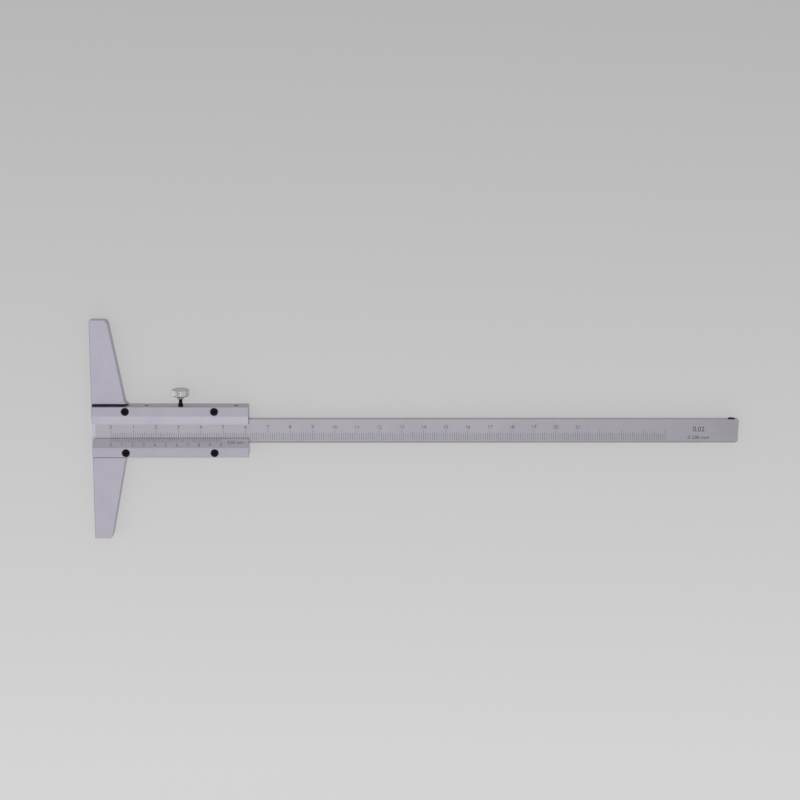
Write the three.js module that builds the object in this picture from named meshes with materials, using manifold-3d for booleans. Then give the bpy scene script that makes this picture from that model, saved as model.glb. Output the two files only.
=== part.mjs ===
// Depth vernier caliper: a T-shaped frame whose long foot is the measuring base, a flat beam that
// slides through the frame, and two screwed plates, the lower one carrying the vernier scale.
// Millimetres. +X runs along the beam away from the measuring plane, which is x = 0. +Y points to
// the side of the lock screw. +Z points out of the scale face. The origin is the centre of the
// beam's measuring end, at the zero reading.
import * as THREE from 'three';
import { mergeVertices } from 'three/addons/utils/BufferGeometryUtils.js';
import Module from 'manifold-3d';

const wasm = await Module();
wasm.setup();

// ---- Driving dimensions -------------------------------------------------------------------

// Beam, the sliding flat bar with the main scale.
const beamLength = 292;
const beamWidth = 11;
const beamThickness = 3.5;
const beamScaleChamfer = 1.0;
const beamTipRun = 1.6;
const beamTipDrop = 0.8;
const beamTailChamfer = 0.9;

// Slider housing around the beam.
const sliderLength = 70;
const sliderWidth = 23;
const backWall = 2.85;
const plateTop = 4.25;

// Measuring base, the cross bar with two tapering arms.
const baseLength = 100;
const armRoot = 15.15;
const armTip = 7.85;
const armTipRadius = 2;
const armFront = 1.15;
const armFillet = 3;
const reliefWidth = 0.9;
const reliefDepth = 1.8;

// Clearances: a sliding fit, and the seam between two pieces that are screwed together.
const slideGap = 0.15;
const seam = 0.2;

// Cover plate and vernier plate.
const plateSetback = 0.5;
const plateEdge = 0.4;
const windowTop = 3.3;
const coverBevelTop = 7.3;
const windowBottom = -3.1;
const vernierBevelBottom = -7.1;

// Plate screws.
const screwColumns = [15.2, 54.7];
const screwRow = 9.45;
const screwHeadRadius = 1.55;
const screwHeadHeight = 1.5;
const screwShankRadius = 0.8;
const screwShankEnd = -2.2;
const screwSlotWidth = 0.5;
const screwSlotLength = 2.2;
const screwSlotDepth = 0.7;

// Gib strip and its two set screws.
const gibThickness = 1.0;
const gibHeight = 3.1;
const gibGap = 0.3;
const gibEndLip = 3.1;
const setScrewColumns = [24.4, 64.3];
const setScrewRadius = 1.0;
const setScrewRecess = 0.1;
const setScrewSlotWidth = 0.4;
const setScrewSlotDepth = 0.6;

// Lock screw.
const lockColumn = 39.6;
const lockThreadRadius = 1.2;
const lockThreadEnd = 12.4;
const lockNeckRadius = 0.8;
const lockPointInset = 0.3;
const lockPointHeight = 0.4;
const lockNeckTaper = 0.3;
const knobRadius = 3.85;
const knobRim = 0.35;
const knobBottom = 15.9;
const knobTop = 19.0;
const knobCollarRadius = 1.5;
const knobCollarBottom = 14.6;
const knobBore = 2.2;

// Stop screw in the tail of the beam.
const stopColumn = 289;
const stopHeadRadius = 1.65;
const stopHeadProud = 0.35;
const stopSeam = 0.05;
const stopShankRadius = 0.7;
const stopShankLength = 4;

// Facets round a full turn, steps in a corner arc, and the distance at which points are merged.
const holeFacets = 20;
const screwFacets = 24;
const seatFacets = 32;
const knobFacets = 40;
const arcSteps = 6;
const mergeTolerance = 1e-4;

// ---- Derived dimensions -------------------------------------------------------------------

const beamHalf = beamWidth / 2;
const beamFace = beamThickness / 2;
const sliderHalf = sliderWidth / 2;
const baseHalf = baseLength / 2;
const channelFloor = -beamFace - slideGap;
const backFace = channelFloor - backWall;
const channelHalf = beamHalf + slideGap;
const wallTop = beamFace;
const plateBottom = wallTop + seam;
const gibInner = beamHalf + gibGap;
const gibOuter = gibInner + gibThickness;
const gibPocket = gibOuter + gibGap;
const past = 1;

// ---- Materials ----------------------------------------------------------------------------

function metal(color, roughness) {
  return new THREE.MeshStandardMaterial({ color, roughness, metalness: 1 });
}

const steels = {
  frame: metal(0xb4afba, 0.38),
  cover: metal(0xbab5c0, 0.34),
  vernier: metal(0xa9a4ae, 0.42),
  beam: metal(0xa8a4ac, 0.36),
  black: metal(0x17161a, 0.45),
  brass: metal(0xb08d4a, 0.4),
  chrome: metal(0xd0d0d4, 0.12),
};

// ---- Solid helpers ------------------------------------------------------------------------

function toSolid(geometry) {
  const bare = geometry.index ? geometry.toNonIndexed() : geometry.clone();
  bare.deleteAttribute('normal');
  bare.deleteAttribute('uv');
  const merged = mergeVertices(bare, mergeTolerance);
  const vertProperties = new Float32Array(merged.attributes.position.array);
  const triVerts = new Uint32Array(merged.index.array);
  return new wasm.Manifold(new wasm.Mesh({ numProp: 3, vertProperties, triVerts }));
}

function toGeometry(solid) {
  const result = solid.getMesh();
  const geometry = new THREE.BufferGeometry();
  geometry.setAttribute('position', new THREE.BufferAttribute(result.vertProperties, 3));
  geometry.setIndex(new THREE.BufferAttribute(result.triVerts, 1));
  const flat = geometry.toNonIndexed();
  flat.computeVertexNormals();
  return flat;
}

function addPart(group, name, solid, material) {
  const part = new THREE.Mesh(toGeometry(solid), material);
  part.name = name;
  group.add(part);
  return part;
}

function block(x, y, z) {
  const geometry = new THREE.BoxGeometry(x[1] - x[0], y[1] - y[0], z[1] - z[0]);
  geometry.translate((x[0] + x[1]) / 2, (y[0] + y[1]) / 2, (z[0] + z[1]) / 2);
  return toSolid(geometry);
}

// A solid of revolution about the Y axis from [radius, height] pairs, both ends on the axis.
function turned(profile, segments) {
  const points = profile.map(([radius, height]) => new THREE.Vector2(radius, height));
  return new THREE.LatheGeometry(points, segments);
}

function turnedUpright(profile, x, y, segments) {
  const geometry = turned(profile, segments);
  geometry.rotateX(Math.PI / 2);
  geometry.translate(x, y, 0);
  return toSolid(geometry);
}

function turnedCrosswise(profile, x, segments) {
  const geometry = turned(profile, segments);
  geometry.translate(x, 0, 0);
  return toSolid(geometry);
}

function rod(radius, low, high) {
  return [[0, low], [radius, low], [radius, high], [0, high]];
}

// Extrudes an outline in the XY plane between two heights.
function slab(outline, low, high) {
  const shape = new THREE.Shape(outline.map(([x, y]) => new THREE.Vector2(x, y)));
  const geometry = new THREE.ExtrudeGeometry(shape, { depth: high - low, bevelEnabled: false });
  geometry.translate(0, 0, low);
  return toSolid(geometry);
}

// Extrudes a section given as [y, z] pairs, counter-clockwise seen from +X, along X.
function bar(section, start, end) {
  const shape = new THREE.Shape(section.map(([y, z]) => new THREE.Vector2(y, z)));
  const geometry = new THREE.ExtrudeGeometry(shape, { depth: end - start, bevelEnabled: false });
  const axes = new THREE.Matrix4().makeBasis(
    new THREE.Vector3(0, 1, 0),
    new THREE.Vector3(0, 0, 1),
    new THREE.Vector3(1, 0, 0),
  );
  geometry.applyMatrix4(axes);
  geometry.translate(start, 0, 0);
  return toSolid(geometry);
}

// ---- Frame --------------------------------------------------------------------------------

// Direction of an arm's sloping back edge, from its tip to its root, and the normal that points
// out of the arm there.
const slope = new THREE.Vector2(armRoot - armTip, sliderHalf - baseHalf).normalize();
const slopeNormal = new THREE.Vector2(-slope.y, slope.x);

function arcPoints(centre, radius, from, to, clockwise) {
  const arc = new THREE.Path();
  arc.absarc(centre.x, centre.y, radius, from, to, clockwise);
  return arc.getPoints(arcSteps).map((point) => [point.x, point.y]);
}

// The rounded corner between an arm's end and its sloping edge.
function tipCorner() {
  const inset = slopeNormal.clone().multiplyScalar(-armTipRadius);
  const along = (armTipRadius + inset.y) / -slope.y;
  const centre = new THREE.Vector2(armTip, baseHalf).add(inset).addScaledVector(slope, along);
  return arcPoints(centre, armTipRadius, Math.PI / 2, slopeNormal.angle(), true);
}

// The arc that blends an arm's sloping edge into the side of the slider.
function rootFillet() {
  const outset = slopeNormal.clone().multiplyScalar(armFillet);
  const along = (armFillet - outset.y) / slope.y;
  const centre = new THREE.Vector2(armRoot, sliderHalf).add(outset).addScaledVector(slope, along);
  return arcPoints(centre, armFillet, slopeNormal.angle() + Math.PI, 1.5 * Math.PI, false);
}

function baseOutline() {
  const upper = [[0, baseHalf], ...tipCorner(), ...rootFillet()];
  const lower = upper.map(([x, y]) => [x, -y]).reverse();
  return [...upper, ...lower].reverse();
}

function screwHole(x, y) {
  const clearance = rod(screwShankRadius + seam, screwShankEnd - seam, wallTop + past);
  return turnedUpright(clearance, x, y, holeFacets);
}

function crosswiseHole(radius, x) {
  return turnedCrosswise(rod(radius, gibPocket - past, sliderHalf + past), x, holeFacets);
}

function makeFrame() {
  let solid = slab(baseOutline(), backFace, armFront);
  solid = solid.add(block([0, sliderLength], [-sliderHalf, sliderHalf], [backFace, wallTop]));
  const above = wallTop + past;
  const channel = block([-past, sliderLength + past], [-channelHalf, channelHalf], [channelFloor, above]);
  solid = solid.subtract(channel);
  const pocketEnds = [gibEndLip - gibGap, sliderLength - gibEndLip + gibGap];
  solid = solid.subtract(block(pocketEnds, [0, gibPocket], [channelFloor, above]));
  for (const side of [-1, 1]) {
    const edges = [side * sliderHalf, side * (sliderHalf + reliefWidth)].sort((a, b) => a - b);
    const relief = block([-past, armRoot + armFillet + past], edges, [armFront - reliefDepth, above]);
    solid = solid.subtract(relief);
    for (const x of screwColumns) {
      solid = solid.subtract(screwHole(x, side * screwRow));
    }
  }
  for (const x of setScrewColumns) {
    solid = solid.subtract(crosswiseHole(setScrewRadius + seam, x));
  }
  return solid.subtract(crosswiseHole(lockThreadRadius + seam, lockColumn));
}

// ---- Plates and their screws --------------------------------------------------------------

// One plate: a flat land that the screws hold, and a bevel down to a thin edge over the beam.
function makePlate(edgeY, bevelY, side) {
  const outer = side * sliderHalf;
  const section = [
    [outer, plateBottom],
    [outer, plateTop],
    [bevelY, plateTop],
    [edgeY, plateBottom + plateEdge],
    [edgeY, plateBottom],
  ];
  if (side < 0) {
    section.reverse();
  }
  let solid = bar(section, plateSetback, sliderLength);
  for (const x of screwColumns) {
    const headSeat = plateTop - screwHeadHeight - seam;
    const clearance = rod(screwShankRadius + seam, plateBottom - past, plateTop);
    const counterbore = rod(screwHeadRadius + seam, headSeat, plateTop + past);
    solid = solid.subtract(turnedUpright(clearance, x, side * screwRow, holeFacets));
    solid = solid.subtract(turnedUpright(counterbore, x, side * screwRow, seatFacets));
  }
  return solid;
}

function makePlateScrew(x, y) {
  const headBottom = plateTop - screwHeadHeight;
  const profile = [
    [0, screwShankEnd],
    [screwShankRadius, screwShankEnd],
    [screwShankRadius, headBottom],
    [screwHeadRadius, headBottom],
    [screwHeadRadius, plateTop],
    [0, plateTop],
  ];
  const half = screwSlotWidth / 2;
  const reach = screwSlotLength / 2;
  const depth = [plateTop - screwSlotDepth, plateTop + past];
  return turnedUpright(profile, x, y, screwFacets)
    .subtract(block([x - reach, x + reach], [y - half, y + half], depth))
    .subtract(block([x - half, x + half], [y - reach, y + reach], depth));
}

// ---- Gib, set screws and lock screw -------------------------------------------------------

function makeGib() {
  const height = [-gibHeight / 2, gibHeight / 2];
  return block([gibEndLip, sliderLength - gibEndLip], [gibInner, gibOuter], height);
}

function makeSetScrew(x) {
  const top = sliderHalf - setScrewRecess;
  const half = setScrewSlotWidth / 2;
  const slot = block([x - past, x + past], [top - setScrewSlotDepth, top + past], [-half, half]);
  return turnedCrosswise(rod(setScrewRadius, gibOuter + seam, top), x, holeFacets).subtract(slot);
}

function makeLockStud() {
  const point = gibOuter + seam;
  const neckTop = knobCollarBottom + knobBore - seam;
  const profile = [
    [0, point],
    [lockThreadRadius - lockPointInset, point],
    [lockThreadRadius, point + lockPointHeight],
    [lockThreadRadius, lockThreadEnd],
    [lockNeckRadius, lockThreadEnd + lockNeckTaper],
    [lockNeckRadius, neckTop],
    [0, neckTop],
  ];
  return turnedCrosswise(profile, lockColumn, screwFacets);
}

function makeLockKnob() {
  const profile = [
    [0, knobCollarBottom],
    [knobCollarRadius, knobCollarBottom],
    [knobCollarRadius, knobCollarBottom + knobRim],
    [knobRadius - knobRim, knobBottom],
    [knobRadius, knobBottom + knobRim],
    [knobRadius, knobTop - knobRim],
    [knobRadius - knobRim, knobTop],
    [0, knobTop],
  ];
  const bore = rod(lockNeckRadius + seam, knobCollarBottom - past, knobCollarBottom + knobBore);
  return turnedCrosswise(profile, lockColumn, knobFacets)
    .subtract(turnedCrosswise(bore, lockColumn, screwFacets));
}

// ---- Beam and its stop screw --------------------------------------------------------------

function makeBeam() {
  const section = [
    [-beamHalf, -beamFace],
    [beamHalf, -beamFace],
    [beamHalf, beamFace],
    [-beamHalf + beamScaleChamfer, beamFace],
    [-beamHalf, beamFace - beamScaleChamfer],
  ];
  let solid = bar(section, 0, beamLength);

  // The bevel across the scale face at the measuring end.
  const tip = new THREE.Shape([
    new THREE.Vector2(-past, beamFace - beamTipDrop - (past * beamTipDrop) / beamTipRun),
    new THREE.Vector2(beamTipRun + past, beamFace + (past * beamTipDrop) / beamTipRun),
    new THREE.Vector2(-past, beamFace + (past * beamTipDrop) / beamTipRun),
  ]);
  const cutter = new THREE.ExtrudeGeometry(tip, { depth: beamWidth + 2 * past, bevelEnabled: false });
  cutter.rotateX(Math.PI / 2);
  cutter.translate(0, beamHalf + past, 0);
  solid = solid.subtract(toSolid(cutter));

  // The small corner cut at the tail, on the scale edge.
  const tail = [
    [beamLength - beamTailChamfer, -beamHalf - past],
    [beamLength + past, -beamHalf - past],
    [beamLength + past, -beamHalf + beamTailChamfer + past],
    [beamLength, -beamHalf + beamTailChamfer],
    [beamLength - beamTailChamfer, -beamHalf],
  ];
  solid = solid.subtract(slab(tail, -beamFace - past, beamFace + past));

  const hole = rod(stopShankRadius + seam, beamHalf - stopShankLength - seam, beamHalf + past);
  return solid.subtract(turnedCrosswise(hole, stopColumn, holeFacets));
}

function makeStopScrew() {
  const headBottom = beamHalf + stopSeam;
  const headTop = beamHalf + stopHeadProud;
  const profile = [
    [0, beamHalf - stopShankLength],
    [stopShankRadius, beamHalf - stopShankLength],
    [stopShankRadius, headBottom],
    [stopHeadRadius, headBottom],
    [stopHeadRadius, headTop],
    [0, headTop],
  ];
  return turnedCrosswise(profile, stopColumn, screwFacets);
}

// ---- Assembly -----------------------------------------------------------------------------

function sideName(index) {
  return index === 0 ? 'left' : 'right';
}

const caliper = new THREE.Group();
caliper.name = 'depth_vernier_caliper';

addPart(caliper, 'frame_body', makeFrame(), steels.frame);
addPart(caliper, 'cover_plate', makePlate(windowTop, coverBevelTop, 1), steels.cover);
addPart(caliper, 'vernier_plate', makePlate(windowBottom, vernierBevelBottom, -1), steels.vernier);

screwColumns.forEach((x, index) => {
  addPart(caliper, `cover_screw_${sideName(index)}`, makePlateScrew(x, screwRow), steels.black);
  addPart(caliper, `vernier_screw_${sideName(index)}`, makePlateScrew(x, -screwRow), steels.black);
});

addPart(caliper, 'gib_strip', makeGib(), steels.brass);
setScrewColumns.forEach((x, index) => {
  addPart(caliper, `gib_set_screw_${sideName(index)}`, makeSetScrew(x), steels.black);
});

addPart(caliper, 'lock_screw_stud', makeLockStud(), steels.black);
addPart(caliper, 'lock_screw_knob', makeLockKnob(), steels.chrome);
addPart(caliper, 'beam', makeBeam(), steels.beam);
addPart(caliper, 'beam_stop_screw', makeStopScrew(), steels.black);

export default caliper;
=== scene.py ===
"""Depth vernier caliper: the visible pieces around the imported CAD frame, in metres."""
import math

import bmesh
import bpy
from mathutils import Matrix, Vector


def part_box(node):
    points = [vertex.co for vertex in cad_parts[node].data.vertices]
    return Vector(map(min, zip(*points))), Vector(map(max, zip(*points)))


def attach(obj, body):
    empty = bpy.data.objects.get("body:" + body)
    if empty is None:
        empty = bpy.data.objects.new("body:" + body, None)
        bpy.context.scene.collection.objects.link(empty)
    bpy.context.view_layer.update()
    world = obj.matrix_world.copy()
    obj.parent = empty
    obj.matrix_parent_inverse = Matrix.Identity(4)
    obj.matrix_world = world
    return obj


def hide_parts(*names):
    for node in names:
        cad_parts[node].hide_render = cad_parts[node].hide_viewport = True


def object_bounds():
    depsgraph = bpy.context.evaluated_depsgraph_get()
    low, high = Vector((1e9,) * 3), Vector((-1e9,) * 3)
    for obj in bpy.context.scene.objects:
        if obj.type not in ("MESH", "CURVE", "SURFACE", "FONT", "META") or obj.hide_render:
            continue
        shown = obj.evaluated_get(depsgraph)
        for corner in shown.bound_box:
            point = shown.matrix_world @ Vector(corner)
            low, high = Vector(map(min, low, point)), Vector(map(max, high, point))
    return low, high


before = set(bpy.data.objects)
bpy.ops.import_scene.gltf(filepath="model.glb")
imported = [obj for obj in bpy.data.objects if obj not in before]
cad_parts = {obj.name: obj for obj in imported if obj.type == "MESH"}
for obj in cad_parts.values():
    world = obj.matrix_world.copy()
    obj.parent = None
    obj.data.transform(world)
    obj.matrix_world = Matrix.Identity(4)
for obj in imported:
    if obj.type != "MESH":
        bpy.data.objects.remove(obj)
cad_low, cad_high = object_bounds()

MM = 0.001

# ---- Sizes from the frame ----------------------------------------------------------------------

frame_low, frame_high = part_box("frame_body")
beam_low, beam_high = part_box("beam")
cover_low, cover_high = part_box("cover_plate")
vernier_low, vernier_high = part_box("vernier_plate")
gib_low, gib_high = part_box("gib_strip")
stud_low, stud_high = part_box("lock_screw_stud")
knob_low, knob_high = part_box("lock_screw_knob")
stop_low, stop_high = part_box("beam_stop_screw")

BACK = frame_low.z
WALL_TOP = frame_high.z
SLIDER_LENGTH = frame_high.x
BASE_HALF = frame_high.y
SLIDER_HALF = cover_high.y
PLATE_TOP = cover_high.z
PLATE_BOTTOM = cover_low.z
WINDOW_TOP = cover_low.y
WINDOW_BOTTOM = vernier_high.y
BEAM_LENGTH = beam_high.x
BEAM_HALF = beam_high.y
BEAM_FACE = beam_high.z

# ---- Sizes that no box gives, the same as in the CAD source -------------------------------------

SLIDE_GAP = 0.15 * MM
SEAM = 0.2 * MM
CHANNEL_FLOOR = beam_low.z - SLIDE_GAP
CHANNEL_HALF = BEAM_HALF + SLIDE_GAP
GIB_GAP = gib_low.y - BEAM_HALF
GIB_POCKET = gib_high.y + GIB_GAP

ARM_ROOT = 15.15 * MM
ARM_TIP = 7.85 * MM
ARM_TIP_RADIUS = 2.0 * MM
ARM_FRONT = 1.15 * MM
ARM_FILLET = 3.0 * MM
RELIEF_WIDTH = 0.9 * MM
RELIEF_DEPTH = 1.8 * MM

PLATE_EDGE = 0.4 * MM
COVER_BEVEL_TOP = 7.3 * MM
VERNIER_BEVEL_BOTTOM = -7.1 * MM
SCREW_HEAD_RADIUS = 1.55 * MM
SCREW_HEAD_HEIGHT = 1.5 * MM
SCREW_SHANK_RADIUS = 0.8 * MM
SCREW_SLOT = (0.5 * MM, 2.2 * MM, 0.7 * MM)  # width, length and depth, as in each slot
SET_SCREW_RADIUS = 1.0 * MM
SET_SCREW_SLOT = (0.4 * MM, 3.0 * MM, 0.6 * MM)

LOCK_THREAD_RADIUS = 1.2 * MM
LOCK_THREAD_END = 12.4 * MM
LOCK_NECK_RADIUS = 0.8 * MM
LOCK_NECK_TAPER = 0.3 * MM
KNOB_RIM = 0.35 * MM
KNOB_COLLAR_RADIUS = 1.5 * MM
KNOB_FLARE = 15.9 * MM
KNOB_BORE = 2.2 * MM

BEAM_SCALE_CHAMFER = 1.0 * MM
BEAM_TIP_RUN = 1.6 * MM
BEAM_TIP_DROP = 0.8 * MM
BEAM_TAIL_CHAMFER = 0.9 * MM
STOP_HEAD_RADIUS = 1.65 * MM
STOP_SHANK_RADIUS = 0.7 * MM
STOP_SEAM = 0.05 * MM

# ---- Detail that only the visible pieces have ---------------------------------------------------

ARC_STEPS = 16
TURNED_STEPS = 64
EDGE_BREAK = 0.3 * MM
PLATE_BREAK = 0.22 * MM
BEAM_BREAK = 0.15 * MM
MOUTH_BREAK = 0.12 * MM
HOLE_BREAK = 0.04 * MM
SCREW_PLAY = 0.04 * MM
HEAD_BREAK = 0.18 * MM
HEAD_ROUND = 0.3  # share of HEAD_BREAK at which the chamfer of a head turns flatter
STOP_RIM = 0.1 * MM
STOP_SLOT = (0.4 * MM, 4.0 * MM, 0.2 * MM)
JOINT_LINE = 0.02 * MM
NEAR = 0.02 * MM
GIB_BREAK = 0.1 * MM
GIB_BREAK_STEPS = 2
SIDEWAYS = 0.5  # how much a face that looks along the beam shows in its normal
SMOOTH_BELOW = math.radians(20)
FLAT_BELOW = math.radians(0.1)
WELD_DISTANCE = 0.0005 * MM
PAST = 1.0 * MM

THREAD_PITCH = 0.5 * MM
THREAD_DEPTH = 0.22 * MM
THREAD_STEPS = 8
KNURL_TEETH = 44
KNURL_DEPTH = 0.16 * MM
KNURL_POINTS = 4  # points round the knob for each tooth
KNURL_FADE = 0.6  # share of the depth where the rim is rounded
KNOB_FACE_LAND = 0.25 * MM
KNOB_DISH = 0.12 * MM
KNOB_DISH_RADII = (0.72, 0.66, 0.2)  # shares of the inner radius: rim, wall and middle
KNOB_FLARE_BEND = (0.55, 0.72)  # shares of the flare's run outwards and upwards
KNOB_ROUND = (0.4, 0.55, 0.45, 0.1)  # shares of KNOB_RIM: inwards, low, high and top

ZERO_MARK = 8.5 * MM
BEAM_MARKS = 250
BEAM_NUMBERS = 22
BEAM_MARK_FOOT = -4.2 * MM
# A graduation takes the entry of the largest step that divides its index.
BEAM_MARK_TOPS = {10: 0.5 * MM, 5: -0.2 * MM, 1: -0.8 * MM}
BEAM_DIGIT_Y = 1.95 * MM
DIGIT_SIZE = 2.35 * MM
DIGIT_THIN = 0.02 * MM
RANGE_X = 273.8 * MM
# Each line has its text, its height across the beam and its letter size.
RANGE_LINES = (("0.02", 0.9 * MM, 3.2 * MM), ("0-200 mm", -2.9 * MM, 2.4 * MM))
RANGE_THIN = 0.01 * MM
LETTER_STEPS = 4
MARK_WIDTH = 0.13 * MM
MARK_DEPTH = 0.02 * MM
MARK_PROUD = 0.01 * MM
VERNIER_MARKS = 50
VERNIER_SPAN = 49.0 * MM
VERNIER_LABEL_STEP = 5
VERNIER_MARK_LENGTHS = {5: 2.2 * MM, 1: 1.75 * MM}
VERNIER_DIGIT_DROP = 3.1 * MM
VERNIER_DIGIT_SIZE = 1.95 * MM
# Text, place along the beam, distance from the plate's thin edge and letter size.
VERNIER_TEXT = ("0.02 mm", 64.0 * MM, -1.9 * MM, 2.0 * MM)

# ---- Camera -------------------------------------------------------------------------------------

CAMERA_PITCH = math.radians(12.008)
CAMERA_YAW = math.radians(2.693)
CAMERA_ROLL = math.radians(-0.604)
CAMERA_DISTANCE = 708.04 * MM
CAMERA_AIM = Vector((137.71 * MM, 14.45 * MM, BEAM_FACE))
CAMERA_LENS = 70.99
SENSOR = 36.0
CAMERA_NEAR = 0.01
CAMERA_FAR = 20.0


def add_camera():
    """The photograph's view, close to straight down on the scale face."""
    turn = (
        Matrix.Rotation(CAMERA_ROLL, 3, "Z")
        @ Matrix.Rotation(CAMERA_PITCH, 3, "X")
        @ Matrix.Rotation(CAMERA_YAW, 3, "Y")
    )
    data = bpy.data.cameras.new("camera")
    data.lens = CAMERA_LENS
    data.sensor_width = SENSOR
    data.clip_start = CAMERA_NEAR
    data.clip_end = CAMERA_FAR
    camera = bpy.data.objects.new("camera", data)
    bpy.context.scene.collection.objects.link(camera)
    place = turn.transposed().to_4x4()
    place.translation = CAMERA_AIM + turn[2] * CAMERA_DISTANCE
    camera.matrix_world = place
    bpy.context.scene.camera = camera


add_camera()
bpy.context.scene.view_settings.view_transform = "Standard"

# ---- Materials ----------------------------------------------------------------------------------

ALONG_X = (0.02, 1.0, 1.0)
ALONG_Y = (1.0, 0.02, 1.0)
GRAIN_SCALE = 9000.0
STAIN_SCALE = 60.0
STAIN_TINT = (0.97, 0.96, 1.0)
STAIN_SHARE = 0.6
GRAIN_ROUGHNESS = (0.9, 1.12)
SMUDGE_SCALE = 900.0
SMUDGE_ROUGHNESS = 0.03
WEAR_RADIUS = 0.25 * MM
WEAR_SAMPLES = 4
WEAR_COSINES = (0.9, 0.995)
WEAR_POLISH = 0.25
# Worn edges painted brighter: partly real wear, partly a painted highlight along the edges.
WEAR_HIGHLIGHT_GAIN = 1.4
WEAR_HIGHLIGHT_LIFT = 0.02
GRAIN_HEIGHT = 0.02 * MM
INK_SCALE = 1500.0
INK_THICK = (0.012, 0.012, 0.015)
INK_THIN = (0.05, 0.048, 0.055)
INK_ROUGHNESS = (0.5, 0.7)
FLOOR_GLOW = 1.30
FLOOR_MATT = 0.55
FLOOR_ROUGHNESS = 0.9


def new_material(name):
    made = bpy.data.materials.new(name)
    made.use_nodes = True
    tree = made.node_tree
    tree.nodes.clear()
    shader = tree.nodes.new("ShaderNodeBsdfPrincipled")
    output = tree.nodes.new("ShaderNodeOutputMaterial")
    tree.links.new(shader.outputs["BSDF"], output.inputs["Surface"])
    return made, tree, shader


def noise(tree, scale, stretch=(1.0, 1.0, 1.0), detail=4.0, roughness=0.6):
    """A noise in the object's own coordinates; stretch above 1 packs it tighter along that axis."""
    place = tree.nodes.new("ShaderNodeTexCoord")
    mapping = tree.nodes.new("ShaderNodeMapping")
    mapping.inputs["Scale"].default_value = stretch
    made = tree.nodes.new("ShaderNodeTexNoise")
    made.inputs["Scale"].default_value = scale
    made.inputs["Detail"].default_value = detail
    made.inputs["Roughness"].default_value = roughness
    tree.links.new(place.outputs["Object"], mapping.inputs["Vector"])
    tree.links.new(mapping.outputs["Vector"], made.inputs["Vector"])
    return made.outputs["Fac"]


def spread(tree, value, low, high, start=0.3, end=0.7):
    """Maps a value between start and end to low and high."""
    node = tree.nodes.new("ShaderNodeMapRange")
    node.inputs["From Min"].default_value = start
    node.inputs["From Max"].default_value = end
    node.inputs["To Min"].default_value = low
    node.inputs["To Max"].default_value = high
    tree.links.new(value, node.inputs["Value"])
    return node.outputs["Result"]


def feed(tree, socket, value):
    """Links a node's output to the socket, or sets the socket to a colour or a number."""
    if isinstance(value, bpy.types.NodeSocket):
        tree.links.new(value, socket)
    elif isinstance(value, tuple):
        socket.default_value = (*value, 1.0)
    else:
        socket.default_value = value


def blend_colours(tree, factor, first, second, mode="MIX"):
    node = tree.nodes.new("ShaderNodeMix")
    node.data_type = "RGBA"
    node.blend_type = mode
    feed(tree, node.inputs[0], factor)
    colours = [s for s in node.inputs if s.type == "RGBA"]
    for socket, colour in zip(colours, (first, second)):
        feed(tree, socket, colour)
    return next(s for s in node.outputs if s.type == "RGBA")


def combine(tree, first, second, operation):
    node = tree.nodes.new("ShaderNodeMath")
    node.operation = operation
    for socket, value in zip(node.inputs, (first, second)):
        feed(tree, socket, value)
    return node.outputs["Value"]


def edge_mask(tree):
    """1 on the edges, where the surface turns within WEAR_RADIUS, and 0 on flat ground."""
    rounded = tree.nodes.new("ShaderNodeBevel")
    rounded.samples = WEAR_SAMPLES
    rounded.inputs["Radius"].default_value = WEAR_RADIUS
    plain = tree.nodes.new("ShaderNodeNewGeometry")
    dot = tree.nodes.new("ShaderNodeVectorMath")
    dot.operation = "DOT_PRODUCT"
    tree.links.new(rounded.outputs["Normal"], dot.inputs[0])
    tree.links.new(plain.outputs["Normal"], dot.inputs[1])
    return spread(tree, dot.outputs["Value"], 1.0, 0.0, *WEAR_COSINES)


def metal(name, colour, roughness, grain=(1.0, 1.0, 1.0), grain_scale=GRAIN_SCALE, shade=0.06,
          bump=0.05, wear_and_highlight=0.12, metallic=1.0, gloss=0.5):
    """A worked metal: grinding lines, faint stains, and edges worn brighter and smoother, the
    brighter edge colour partly a painted highlight.
    """
    made, tree, shader = new_material(name)
    lines = noise(tree, grain_scale, grain, detail=3.0)
    stains = noise(tree, STAIN_SCALE, detail=5.0)
    smudges = noise(tree, SMUDGE_SCALE, detail=3.0)
    dark = tuple(c * (1.0 - shade) for c in colour)
    light = tuple(min(1.0, c * (1.0 + shade)) for c in colour)
    tint = blend_colours(tree, spread(tree, lines, 0.0, 1.0), dark, light)
    stain = tuple(c * (1.0 - STAIN_SHARE * shade) for c in STAIN_TINT)
    stained = blend_colours(tree, 1.0, tint, stain, "MULTIPLY")
    tint = blend_colours(tree, spread(tree, stains, 0.0, 1.0), tint, stained)
    # Edges worn smoother and painted brighter: partly wear, partly a painted highlight.
    worn_and_highlit_mask = combine(tree, edge_mask(tree), wear_and_highlight, "MULTIPLY")
    wear_highlight_colour = tuple(min(1.0, c * WEAR_HIGHLIGHT_GAIN + WEAR_HIGHLIGHT_LIFT) for c in colour)
    tree.links.new(blend_colours(tree, worn_and_highlit_mask, tint, wear_highlight_colour), shader.inputs["Base Color"])
    rough = combine(
        tree,
        spread(tree, lines, *(roughness * share for share in GRAIN_ROUGHNESS)),
        spread(tree, smudges, -SMUDGE_ROUGHNESS, SMUDGE_ROUGHNESS),
        "ADD",
    )
    polish = combine(tree, worn_and_highlit_mask, WEAR_POLISH, "MULTIPLY")
    tree.links.new(combine(tree, rough, polish, "SUBTRACT"), shader.inputs["Roughness"])
    shader.inputs["Metallic"].default_value = metallic
    shader.inputs["Specular IOR Level"].default_value = gloss
    relief = tree.nodes.new("ShaderNodeBump")
    relief.inputs["Strength"].default_value = bump
    relief.inputs["Distance"].default_value = GRAIN_HEIGHT
    tree.links.new(lines, relief.inputs["Height"])
    tree.links.new(relief.outputs["Normal"], shader.inputs["Normal"])
    return made


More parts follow.
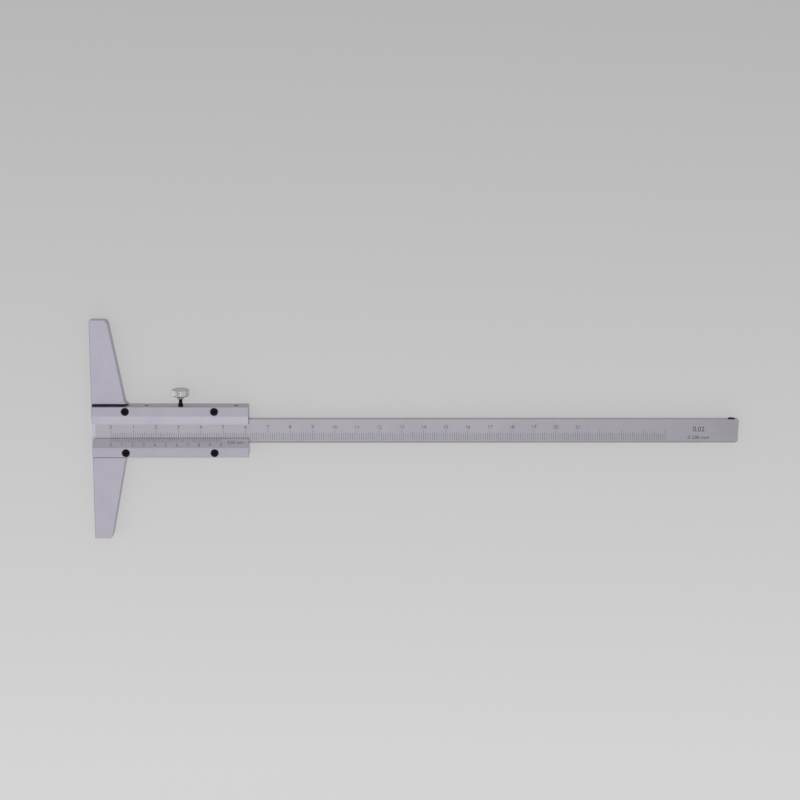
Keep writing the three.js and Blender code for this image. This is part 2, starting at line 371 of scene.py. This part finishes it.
def ink_material():
    """Black paint rubbed into the graduations, greyer where it is thin."""
    made, tree, shader = new_material("scale_ink")
    patches = noise(tree, INK_SCALE, detail=3.0)
    colour = blend_colours(tree, spread(tree, patches, 0.0, 1.0), INK_THICK, INK_THIN)
    tree.links.new(colour, shader.inputs["Base Color"])
    tree.links.new(spread(tree, patches, *INK_ROUGHNESS), shader.inputs["Roughness"])
    return made


def floor_material(dark, light, dark_y, light_y):
    """Pale matt paper that glows, so that shadows on it stay faint; its colour and glow fade darker
    towards +Y, a painted fall-off of light.
    """
    made, tree, shader = new_material("floor_paper")
    place = tree.nodes.new("ShaderNodeTexCoord")
    split = tree.nodes.new("ShaderNodeSeparateXYZ")
    tree.links.new(place.outputs["Object"], split.inputs["Vector"])
    along = spread(tree, split.outputs["Y"], 0.0, 1.0, dark_y, light_y)
    matt = [tuple(FLOOR_MATT * c for c in colour) for colour in (dark, light)]
    tree.links.new(blend_colours(tree, along, *matt), shader.inputs["Base Color"])
    tree.links.new(blend_colours(tree, along, dark, light), shader.inputs["Emission Color"])
    shader.inputs["Emission Strength"].default_value = FLOOR_GLOW
    shader.inputs["Roughness"].default_value = FLOOR_ROUGHNESS
    shader.inputs["Specular IOR Level"].default_value = 0.0
    return made


frame_steel = metal("frame_steel", (0.472, 0.447, 0.512), 0.36, ALONG_Y)
plate_steel = metal("plate_steel", (0.440, 0.416, 0.471), 0.36, ALONG_X)
vernier_steel = metal("vernier_steel", (0.472, 0.451, 0.505), 0.42, ALONG_X)
beam_steel = metal("beam_steel", (0.440, 0.418, 0.459), 0.34, ALONG_X)
black_steel = metal("black_steel", (0.004, 0.004, 0.005), 0.42, grain_scale=4000.0, wear_and_highlight=0.3,
                    shade=0.25, metallic=0.0, gloss=0.12)
gib_brass = metal("gib_brass", (0.70, 0.52, 0.26), 0.35, ALONG_X)
knob_chrome = metal("knob_chrome", (0.52, 0.52, 0.53), 0.22, grain_scale=2500.0, shade=0.02,
                    bump=0.02, wear_and_highlight=0.0)
# Near-black steel that paints shade into the reliefs beside the slider.
relief_painted_shade = metal("relief_painted_shade", (0.10, 0.09, 0.11), 0.6, ALONG_X, shade=0.2, wear_and_highlight=0.1)
scale_ink = ink_material()

# ---- Mesh helpers -------------------------------------------------------------------------------


def from_bmesh(name, bm):
    bmesh.ops.recalc_face_normals(bm, faces=bm.faces)
    data = bpy.data.meshes.new(name)
    bm.to_mesh(data)
    bm.free()
    made = bpy.data.objects.new(name, data)
    bpy.context.scene.collection.objects.link(made)
    return made


def prism(outline, low, high, place):
    """Extrudes a closed outline of 2-D points; place(u, v, w) gives the point in the frame."""
    bm = bmesh.new()
    rings = [[bm.verts.new(place(u, v, w)) for u, v in outline] for w in (low, high)]
    count = len(outline)
    for i in range(count):
        j = (i + 1) % count
        bm.faces.new((rings[0][i], rings[0][j], rings[1][j], rings[1][i]))
    bm.faces.new(rings[0][::-1])
    bm.faces.new(rings[1])
    bmesh.ops.recalc_face_normals(bm, faces=bm.faces)
    return bm


def upright(u, v, w):
    return (u, v, w)


def lengthwise(u, v, w):
    return (w, u, v)


def crosswise(u, v, w):
    return (u, w, v)


def cuboid(x, y, z):
    outline = [(x[0], y[0]), (x[1], y[0]), (x[1], y[1]), (x[0], y[1])]
    return prism(outline, z[0], z[1], upright)


def break_edges(bm, width, chosen):
    """A flat chamfer on the edges for which chosen(first point, second point) holds."""
    edges = [e for e in bm.edges if e.calc_face_angle(0.0) > SMOOTH_BELOW
             and chosen(e.verts[0].co, e.verts[1].co)]
    bmesh.ops.bevel(bm, geom=edges, offset=width, offset_type="OFFSET", segments=1,
                    affect="EDGES", clamp_overlap=False)
    return bm


def lathe(profile, centre, axis, steps=TURNED_STEPS, radius_at=None):
    """Turns (radius, height) pairs about the line through centre along axis, "Y" or "Z"."""
    bm = bmesh.new()
    rings = []
    for index, (radius, height) in enumerate(profile):
        ring = []
        for step in range(steps):
            angle = 2 * math.pi * step / steps
            r = radius_at(index, radius, angle) if radius_at else radius
            u, v = r * math.cos(angle), r * math.sin(angle)
            if axis == "Z":
                point = (centre[0] + u, centre[1] + v, height)
            else:
                point = (centre[0] + u, height, centre[2] + v)
            ring.append(bm.verts.new(point))
        rings.append(ring)
    for lower, upper in zip(rings, rings[1:]):
        for i in range(steps):
            j = (i + 1) % steps
            bm.faces.new((lower[i], lower[j], upper[j], upper[i]))
    bm.faces.new(rings[0][::-1])
    bm.faces.new(rings[-1])
    bmesh.ops.recalc_face_normals(bm, faces=bm.faces)
    return bm


def boolean(target, cutters, operation="DIFFERENCE"):
    """Cuts the bmesh cutters out of the target, or joins them to it, and keeps the result."""
    helpers = [from_bmesh(f"helper_{i}", cutter) for i, cutter in enumerate(cutters)]
    for helper in helpers:
        modifier = target.modifiers.new("boolean", "BOOLEAN")
        modifier.object = helper
        modifier.operation = operation
        modifier.solver = "EXACT"
    depsgraph = bpy.context.evaluated_depsgraph_get()
    result = bpy.data.meshes.new_from_object(target.evaluated_get(depsgraph))
    target.modifiers.clear()
    old = target.data
    target.data = result
    bpy.data.meshes.remove(old)
    for helper in helpers:
        data = helper.data
        bpy.data.objects.remove(helper)
        bpy.data.meshes.remove(data)
    return target


def merge_flat_faces(data):
    """Joins the faces of one plane that a boolean left split."""
    bm = bmesh.new()
    bm.from_mesh(data)
    bmesh.ops.dissolve_limit(bm, angle_limit=FLAT_BELOW, verts=bm.verts, edges=bm.edges)
    bm.to_mesh(data)
    bm.free()


def weld(bm):
    """Joins the points that lie on each other."""
    bmesh.ops.remove_doubles(bm, verts=bm.verts, dist=WELD_DISTANCE)
    return bm


def finish_piece(piece, body, material, nodes=()):
    """Shading, material and body of a finished piece."""
    data = piece.data
    data.materials.clear()
    data.materials.append(material)
    data.polygons.foreach_set("use_smooth", [True] * len(data.polygons))
    data.set_sharp_from_angle(angle=SMOOTH_BELOW)
    weighted = piece.modifiers.new("normals", "WEIGHTED_NORMAL")
    weighted.keep_sharp = True
    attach(piece, body)
    if nodes:
        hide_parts(*nodes)
    return piece


# ---- Frame body ---------------------------------------------------------------------------------


def arc(centre, radius, start, end):
    steps = [start + (end - start) * i / ARC_STEPS for i in range(ARC_STEPS + 1)]
    return [(centre.x + radius * math.cos(a), centre.y + radius * math.sin(a)) for a in steps]


def frame_outline():
    """The frame seen from the front: two tapering arms and the slider."""
    slope = Vector((ARM_ROOT - ARM_TIP, SLIDER_HALF - BASE_HALF)).normalized()
    normal = Vector((-slope.y, slope.x))
    facing = math.atan2(normal.y, normal.x)

    inset = normal * -ARM_TIP_RADIUS
    along = (ARM_TIP_RADIUS + inset.y) / -slope.y
    tip = arc(Vector((ARM_TIP, BASE_HALF)) + inset + slope * along, ARM_TIP_RADIUS,
              math.pi / 2, facing)

    outset = normal * ARM_FILLET
    along = (ARM_FILLET - outset.y) / slope.y
    root = arc(Vector((ARM_ROOT, SLIDER_HALF)) + outset + slope * along, ARM_FILLET,
               facing + math.pi, 1.5 * math.pi)

    upper = [(0.0, BASE_HALF), *tip, *root, (SLIDER_LENGTH, SLIDER_HALF)]
    lower = [(x, -y) for x, y in reversed(upper)]
    return [*upper, *lower][::-1]


def make_frame_body():
    """The arms and the slider, less the beam's channel, the gib's pocket, reliefs and holes."""
    def outer(a, b):
        return not (a.z > ARM_FRONT - PAST and b.z > ARM_FRONT - PAST
                    and min(a.x, b.x) > ARM_ROOT + ARM_FILLET + PAST)

    slab = break_edges(prism(frame_outline(), BACK, ARM_FRONT, upright), EDGE_BREAK, outer)
    body = from_bmesh("frame_body_steel", slab)
    walls = cuboid((0.0, SLIDER_LENGTH), (-SLIDER_HALF, SLIDER_HALF), (-PAST, WALL_TOP))
    break_edges(walls, EDGE_BREAK, lambda a, b: abs(a.z - b.z) > PAST and a.x > PAST)
    boolean(body, [walls], "UNION")
    merge_flat_faces(body.data)

    above = WALL_TOP + PAST
    ends = (gib_low.x - GIB_GAP, gib_high.x + GIB_GAP)
    cutters = [
        cuboid((-PAST, SLIDER_LENGTH + PAST), (-CHANNEL_HALF, CHANNEL_HALF),
               (CHANNEL_FLOOR, above)),
        cuboid(ends, (0.0, GIB_POCKET), (CHANNEL_FLOOR, above)),
    ]
    for side in (-1, 1):
        edges = sorted((side * SLIDER_HALF, side * (SLIDER_HALF + RELIEF_WIDTH)))
        cutters.append(cuboid((-PAST, ARM_ROOT + ARM_FILLET + PAST), edges,
                              (ARM_FRONT - RELIEF_DEPTH, above)))
    # The widest hole comes first: cut last, it left its cutter's faces in the mesh.
    for name, radius in (("lock_screw_stud", LOCK_THREAD_RADIUS),
                         ("gib_set_screw_left", SET_SCREW_RADIUS),
                         ("gib_set_screw_right", SET_SCREW_RADIUS)):
        low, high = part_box(name)
        centre = (low + high) / 2
        hole = radius + SCREW_PLAY
        profile = [(hole, GIB_POCKET - PAST), (hole, SLIDER_HALF - HOLE_BREAK),
                   (hole + HOLE_BREAK + SEAM, SLIDER_HALF + SEAM)]
        cutters.append(lathe(profile, centre, "Y"))
    boolean(body, cutters)
    finish_piece(body, "frame", frame_steel, ["frame_body"])
    # Painted shade in the two reliefs beside the slider.
    darken_reliefs(body.data)
    return body


def darken_reliefs(data):
    """Painted shade: a near-black material on the floor and outer wall of the two reliefs beside
    the slider, where the narrow groove lies in shade.
    """
    data.materials.append(relief_painted_shade)
    for face in data.polygons:
        y, z = abs(face.center.y), face.center.z
        beside = SLIDER_HALF + SEAM < y < SLIDER_HALF + RELIEF_WIDTH + NEAR
        inside = ARM_FRONT - RELIEF_DEPTH - NEAR < z < ARM_FRONT - NEAR
        if beside and inside and abs(face.normal.x) < SIDEWAYS:
            face.material_index = 1


# ---- Plates and their screws --------------------------------------------------------------------


def make_plate(name, node, edge_y, bevel_y, side, material):
    """The land and the bevel of one plate, with a step that closes the seam over the wall."""
    low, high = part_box(node)
    outer = side * SLIDER_HALF
    step = side * (GIB_POCKET + JOINT_LINE)
    seat = WALL_TOP + JOINT_LINE
    section = [
        (outer - side * MOUTH_BREAK, seat),
        (outer, seat + MOUTH_BREAK),
        (outer, PLATE_TOP - PLATE_BREAK),
        (outer - side * PLATE_BREAK, PLATE_TOP),
        (bevel_y, PLATE_TOP),
        (edge_y, PLATE_BOTTOM + PLATE_EDGE),
        (edge_y, PLATE_BOTTOM),
        (step, PLATE_BOTTOM),
        (step, seat),
    ]
    bm = prism(section, low.x, high.x, lengthwise)
    break_edges(bm, PLATE_BREAK, lambda a, b: abs(a.x - b.x) < JOINT_LINE
                and min(a.z, b.z) > PLATE_BOTTOM + PLATE_EDGE - JOINT_LINE)
    plate = from_bmesh(name, bm)
    cutters = []
    for screw in (f"{node.split('_')[0]}_screw_{end}" for end in ("left", "right")):
        screw_low, screw_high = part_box(screw)
        centre = (screw_low + screw_high) / 2
        seat_radius = SCREW_HEAD_RADIUS + SEAM
        profile = [(seat_radius, PLATE_TOP - SCREW_HEAD_HEIGHT - SEAM),
                   (seat_radius, PLATE_TOP - MOUTH_BREAK),
                   (seat_radius + MOUTH_BREAK + PAST, PLATE_TOP + PAST)]
        cutters.append(lathe(profile, centre, "Z"))
    boolean(plate, cutters)
    return finish_piece(plate, "frame", material, [node])


def make_plate_screw(node):
    low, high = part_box(node)
    centre = (low + high) / 2
    under = high.z - SCREW_HEAD_HEIGHT
    profile = [
        (SCREW_SHANK_RADIUS - HEAD_BREAK, low.z),
        (SCREW_SHANK_RADIUS, low.z + HEAD_BREAK),
        (SCREW_SHANK_RADIUS, under),
        (SCREW_HEAD_RADIUS, under),
        (SCREW_HEAD_RADIUS, high.z - HEAD_BREAK),
        (SCREW_HEAD_RADIUS - HEAD_ROUND * HEAD_BREAK, high.z - HEAD_ROUND * HEAD_BREAK),
        (SCREW_HEAD_RADIUS - HEAD_BREAK, high.z),
    ]
    screw = from_bmesh(f"{node}_black", lathe(profile, centre, "Z"))
    width, length, depth = SCREW_SLOT
    cutters = []
    for x, y in ((length, width), (width, length)):
        cutters.append(cuboid((centre.x - x / 2, centre.x + x / 2),
                              (centre.y - y / 2, centre.y + y / 2),
                              (high.z - depth, high.z + PAST)))
    boolean(screw, cutters)
    return finish_piece(screw, "frame", black_steel, [node])


# ---- Set screws, lock screw and stop screw ------------------------------------------------------


def make_set_screw(node):
    low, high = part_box(node)
    centre = (low + high) / 2
    profile = [
        (SET_SCREW_RADIUS - HEAD_BREAK, low.y),
        (SET_SCREW_RADIUS, low.y + HEAD_BREAK),
        (SET_SCREW_RADIUS, high.y - HEAD_BREAK),
        (SET_SCREW_RADIUS - HEAD_BREAK, high.y),
    ]
    screw = from_bmesh(f"{node}_black", lathe(profile, centre, "Y"))
    width, length, depth = SET_SCREW_SLOT
    slot = cuboid((centre.x - length / 2, centre.x + length / 2),
                  (high.y - depth, high.y + PAST),
                  (centre.z - width / 2, centre.z + width / 2))
    boolean(screw, [slot])
    return finish_piece(screw, "frame", black_steel, [node])


def make_lock_stud():
    """A single helical thread that runs out into the thin neck under the knob."""
    centre = (stud_low + stud_high) / 2
    bm = bmesh.new()
    steps = TURNED_STEPS // 2
    thread_length = LOCK_THREAD_END - stud_low.y
    count = round(thread_length / THREAD_PITCH * THREAD_STEPS)
    heights = [stud_low.y + thread_length * i / count for i in range(count + 1)]
    rings = []

    def add_ring(height, radius_at):
        ring = []
        for step in range(steps):
            angle = 2 * math.pi * step / steps
            radius = radius_at(angle)
            ring.append(bm.verts.new((centre.x + radius * math.cos(angle), height,
                                      centre.z + radius * math.sin(angle))))
        rings.append(ring)

    for height in heights:
        inset = min(1.0, (height - stud_low.y) / THREAD_PITCH,
                    (LOCK_THREAD_END - height) / THREAD_PITCH)

        def threaded(angle, height=height, inset=inset):
            turn = (height / THREAD_PITCH - angle / (2 * math.pi)) % 1.0
            crest = abs(2.0 * turn - 1.0)
            return LOCK_THREAD_RADIUS - THREAD_DEPTH * (1.0 - crest * max(0.0, inset))

        add_ring(height, threaded)
    for height in (LOCK_THREAD_END + LOCK_NECK_TAPER, stud_high.y):
        add_ring(height, lambda angle: LOCK_NECK_RADIUS)
    for lower, upper in zip(rings, rings[1:]):
        for i in range(steps):
            j = (i + 1) % steps
            bm.faces.new((lower[i], lower[j], upper[j], upper[i]))
    bm.faces.new(rings[0][::-1])
    bm.faces.new(rings[-1])
    stud = from_bmesh("lock_screw_stud_black", bm)
    return finish_piece(stud, "lock_screw", black_steel, ["lock_screw_stud"])


def make_lock_knob():
    """A turned collar that flares into a rim with straight knurling; each point of the profile
    has a radius, a height and its share of the knurl's depth."""
    centre = (knob_low + knob_high) / 2
    radius = (knob_high.x - knob_low.x) / 2
    inner = radius - KNOB_RIM
    bottom, top = knob_low.y, knob_high.y
    bend_out, bend_up = KNOB_FLARE_BEND
    round_in, round_low, round_high, round_top = (share * KNOB_RIM for share in KNOB_ROUND)
    dish_rim, dish_wall, dish_middle = (share * inner for share in KNOB_DISH_RADII)
    bend_radius = KNOB_COLLAR_RADIUS + bend_out * (inner - KNOB_COLLAR_RADIUS)
    profile = [
        (KNOB_COLLAR_RADIUS - HEAD_BREAK, bottom, 0),
        (KNOB_COLLAR_RADIUS, bottom + HEAD_BREAK, 0),
        (KNOB_COLLAR_RADIUS, bottom + KNOB_RIM, 0),
        (bend_radius, bottom + bend_up * (KNOB_FLARE - bottom), 0),
        (inner, KNOB_FLARE, 0),
        (radius - round_in, KNOB_FLARE + round_low, KNURL_FADE),
        (radius, KNOB_FLARE + KNOB_RIM, 1),
        (radius, top - KNOB_RIM, 1),
        (radius - round_in, top - round_high, KNURL_FADE),
        (inner, top - round_top, 0),
        (inner - KNOB_FACE_LAND, top, 0),
        (dish_rim, top, 0),
        (dish_wall, top - KNOB_DISH, 0),
        (dish_middle, top - KNOB_DISH, 0),
    ]

    def knurled(index, r, angle):
        share = angle * KNURL_TEETH / (2 * math.pi) % 1.0
        valley = abs(2.0 * share - 1.0)
        return r - profile[index][2] * KNURL_DEPTH * valley

    bm = lathe([(r, y) for r, y, _ in profile], centre, "Y",
               KNURL_TEETH * KNURL_POINTS, knurled)
    knob = from_bmesh("lock_screw_knob_chrome", bm)
    bore = LOCK_NECK_RADIUS + SEAM
    boolean(knob, [lathe([(bore, bottom - PAST), (bore, bottom + KNOB_BORE)], centre, "Y")])
    return finish_piece(knob, "lock_screw", knob_chrome, ["lock_screw_knob"])


def make_stop_screw():
    centre = (stop_low + stop_high) / 2
    under = BEAM_HALF + STOP_SEAM
    profile = [
        (STOP_SHANK_RADIUS, stop_low.y),
        (STOP_SHANK_RADIUS, under),
        (STOP_HEAD_RADIUS, under),
        (STOP_HEAD_RADIUS, stop_high.y - STOP_RIM),
        (STOP_HEAD_RADIUS - STOP_RIM, stop_high.y),
    ]
    screw = from_bmesh("beam_stop_screw_black", lathe(profile, centre, "Y"))
    width, length, depth = STOP_SLOT
    slot = cuboid((centre.x - length / 2, centre.x + length / 2),
                  (stop_high.y - depth, stop_high.y + PAST),
                  (centre.z - width / 2, centre.z + width / 2))
    boolean(screw, [slot])
    return finish_piece(screw, "beam", black_steel, ["beam_stop_screw"])


# ---- Beam ---------------------------------------------------------------------------------------


def make_beam():
    """A bar with its scale edge chamfered, its tip bevelled and one corner of its tail cut."""
    c = BEAM_BREAK
    section = [
        (-BEAM_HALF + c, -BEAM_FACE),
        (BEAM_HALF - c, -BEAM_FACE),
        (BEAM_HALF, -BEAM_FACE + c),
        (BEAM_HALF, BEAM_FACE - c),
        (BEAM_HALF - c, BEAM_FACE),
        (-BEAM_HALF + BEAM_SCALE_CHAMFER, BEAM_FACE),
        (-BEAM_HALF, BEAM_FACE - BEAM_SCALE_CHAMFER),
        (-BEAM_HALF, -BEAM_FACE + c),
    ]
    bm = prism(section, 0.0, BEAM_LENGTH, lengthwise)
    break_edges(bm, c, lambda a, b: abs(a.x - b.x) < c and a.x > c)
    beam = from_bmesh("beam_steel_bar", bm)
    rise = PAST * BEAM_TIP_DROP / BEAM_TIP_RUN
    tip = [
        (-PAST, BEAM_FACE - BEAM_TIP_DROP - rise),
        (BEAM_TIP_RUN + PAST, BEAM_FACE + rise),
        (-PAST, BEAM_FACE + rise),
    ]
    tail = [
        (BEAM_LENGTH - BEAM_TAIL_CHAMFER - PAST, -BEAM_HALF - PAST),
        (BEAM_LENGTH + PAST, -BEAM_HALF - PAST),
        (BEAM_LENGTH + PAST, -BEAM_HALF + BEAM_TAIL_CHAMFER + PAST),
    ]
    centre = (stop_low + stop_high) / 2
    hole = STOP_SHANK_RADIUS + SEAM
    cutters = [
        prism(tip, -BEAM_HALF - PAST, BEAM_HALF + PAST, crosswise),
        prism(tail, -BEAM_FACE - PAST, BEAM_FACE + PAST, upright),
        lathe([(hole, stop_low.y - SEAM), (hole, BEAM_HALF + PAST)], centre, "Y"),
    ]
    boolean(beam, cutters)
    return finish_piece(beam, "beam", beam_steel, ["beam"])


# ---- Graduations --------------------------------------------------------------------------------


def add_mark(bm, place, x, start, end):
    """A bar across the scale from start to end, sunk a little into the face and barely proud."""
    corners = []
    for z in (-MARK_DEPTH, MARK_PROUD):
        for u, v in ((-1, start), (1, start), (1, end), (-1, end)):
            corners.append(bm.verts.new(place @ Vector((x + u * MARK_WIDTH / 2, v, z))))
    bottom, top = corners[:4], corners[4:]
    bm.faces.new(bottom[::-1])
    bm.faces.new(top)
    for i in range(4):
        j = (i + 1) % 4
        bm.faces.new((bottom[i], bottom[j], top[j], top[i]))


def add_text(bm, place, text, x, y, size, thin=0.0):
    """Adds the letters of a text, centred on a point of the face, as thin solid shapes."""
    curve = bpy.data.curves.new("text", "FONT")
    curve.body = text
    curve.size = size
    curve.align_x = "CENTER"
    curve.align_y = "CENTER"
    curve.offset = -thin
    curve.extrude = (MARK_DEPTH + MARK_PROUD) / 2
    curve.resolution_u = LETTER_STEPS
    holder = bpy.data.objects.new("text", curve)
    bpy.context.scene.collection.objects.link(holder)
    depsgraph = bpy.context.evaluated_depsgraph_get()
    data = bpy.data.meshes.new_from_object(holder.evaluated_get(depsgraph))
    middle = (MARK_PROUD - MARK_DEPTH) / 2
    data.transform(place @ Matrix.Translation((x, y, middle)))
    bm.from_mesh(data)
    bpy.data.objects.remove(holder)
    bpy.data.curves.remove(curve)
    bpy.data.meshes.remove(data)


def tier(index, lengths):
    """The length of a graduation: the largest step that divides its index."""
    return next(lengths[step] for step in sorted(lengths, reverse=True) if index % step == 0)


def make_beam_scale():
    face = Matrix.Translation((0.0, 0.0, BEAM_FACE))
    marks = bmesh.new()
    for i in range(BEAM_MARKS + 1):
        add_mark(marks, face, ZERO_MARK + i * MM, BEAM_MARK_FOOT, tier(i, BEAM_MARK_TOPS))
    finish_piece(from_bmesh("beam_graduations", marks), "beam", scale_ink)
    digits = bmesh.new()
    for i in range(BEAM_NUMBERS):
        x = ZERO_MARK + 10 * i * MM
        add_text(digits, face, str(i), x, BEAM_DIGIT_Y, DIGIT_SIZE, DIGIT_THIN)
    for text, y, size in RANGE_LINES:
        add_text(digits, face, text, RANGE_X, y, size, RANGE_THIN)
    finish_piece(from_bmesh("beam_numerals", weld(digits)), "beam", scale_ink)


def make_vernier_scale():
    """Marks on the vernier plate's bevel, from its thin edge outwards."""
    drop = PLATE_TOP - PLATE_BOTTOM - PLATE_EDGE
    run = WINDOW_BOTTOM - VERNIER_BEVEL_BOTTOM
    face = (Matrix.Translation((0.0, WINDOW_BOTTOM, PLATE_BOTTOM + PLATE_EDGE))
            @ Matrix.Rotation(-math.atan2(drop, run), 4, "X"))
    marks = bmesh.new()
    for i in range(VERNIER_MARKS + 1):
        x = ZERO_MARK + VERNIER_SPAN * i / VERNIER_MARKS
        add_mark(marks, face, x, 0.0, -tier(i, VERNIER_MARK_LENGTHS))
    finish_piece(from_bmesh("vernier_graduations", marks), "frame", scale_ink)
    digits = bmesh.new()
    for i in range(0, VERNIER_MARKS + 1, VERNIER_LABEL_STEP):
        x = ZERO_MARK + VERNIER_SPAN * i / VERNIER_MARKS
        add_text(digits, face, str(i // VERNIER_LABEL_STEP % 10), x, -VERNIER_DIGIT_DROP,
                 VERNIER_DIGIT_SIZE, DIGIT_THIN)
    add_text(digits, face, *VERNIER_TEXT)
    finish_piece(from_bmesh("vernier_numerals", weld(digits)), "frame", scale_ink)


# ---- Assembly -----------------------------------------------------------------------------------

make_frame_body()
make_plate("cover_plate_steel", "cover_plate", WINDOW_TOP, COVER_BEVEL_TOP, 1, plate_steel)
make_plate("vernier_plate_steel", "vernier_plate", WINDOW_BOTTOM, VERNIER_BEVEL_BOTTOM, -1,
           vernier_steel)
for end in ("left", "right"):
    make_plate_screw(f"cover_screw_{end}")
    make_plate_screw(f"vernier_screw_{end}")
    make_set_screw(f"gib_set_screw_{end}")
make_lock_stud()
make_lock_knob()
make_beam()
make_stop_screw()
make_beam_scale()
make_vernier_scale()

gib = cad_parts["gib_strip"]
gib.data.materials.clear()
gib.data.materials.append(gib_brass)
gib_edges = gib.modifiers.new("edges", "BEVEL")
gib_edges.width = GIB_BREAK
gib_edges.segments = GIB_BREAK_STEPS

# ---- Floor and light ----------------------------------------------------------------------------

FLOOR_SIZE = 12.0
# Floor colour and glow at its two ends: the fade between them is a painted fall-off of light.
FLOOR_DARK = (0.27, 0.27, 0.27)
FLOOR_DARK_Y = 190 * MM
FLOOR_LIGHT = (0.375, 0.375, 0.375)
FLOOR_LIGHT_Y = -165 * MM
WORLD_STRENGTH = 0.50

# Azimuth and elevation in degrees, distance, size and brightness of each light.
SOFTBOXES = {
    "overhead": (270, 80, 1.6, 1.8, 0.54),
    "front": (0, 27, 1.5, 1.3, 0.85),
    "left": (270, 25, 1.5, 1.0, 1.0),
    "right": (90, 14, 1.5, 1.0, 0.4),
    "back": (180, 16, 1.5, 1.2, 0.6),
}


def add_floor():
    bm = bmesh.new()
    corners = [(-1, -1), (1, -1), (1, 1), (-1, 1)]
    bm.faces.new([bm.verts.new((FLOOR_SIZE * x, FLOOR_SIZE * y, BACK - JOINT_LINE))
                  for x, y in corners])
    floor = from_bmesh("floor", bm)
    floor.data.materials.append(
        floor_material(FLOOR_DARK, FLOOR_LIGHT, FLOOR_DARK_Y, FLOOR_LIGHT_Y))


def add_softbox(name, azimuth, elevation, distance, size, brightness):
    """A square area light that looks at the middle of the object; azimuth 0 is the -Y side."""
    middle = (cad_low + cad_high) / 2
    a, e = math.radians(azimuth), math.radians(elevation)
    back = Vector((math.sin(a) * math.cos(e), -math.cos(a) * math.cos(e), math.sin(e)))
    data = bpy.data.lights.new(name, "AREA")
    data.shape = "SQUARE"
    data.size = size
    data.energy = brightness * math.pi * size * size
    light = bpy.data.objects.new(name, data)
    bpy.context.scene.collection.objects.link(light)
    light.rotation_mode = "QUATERNION"
    light.rotation_quaternion = back.to_track_quat("Z", "Y")
    light.location = middle + back * distance


def add_world(strength):
    world = bpy.data.worlds.new("studio")
    world.use_nodes = True
    background = world.node_tree.nodes["Background"]
    background.inputs["Color"].default_value = (1.0, 1.0, 1.0, 1.0)
    background.inputs["Strength"].default_value = strength
    bpy.context.scene.world = world


add_floor()
add_world(WORLD_STRENGTH)
for name, settings in SOFTBOXES.items():
    add_softbox(name, *settings)
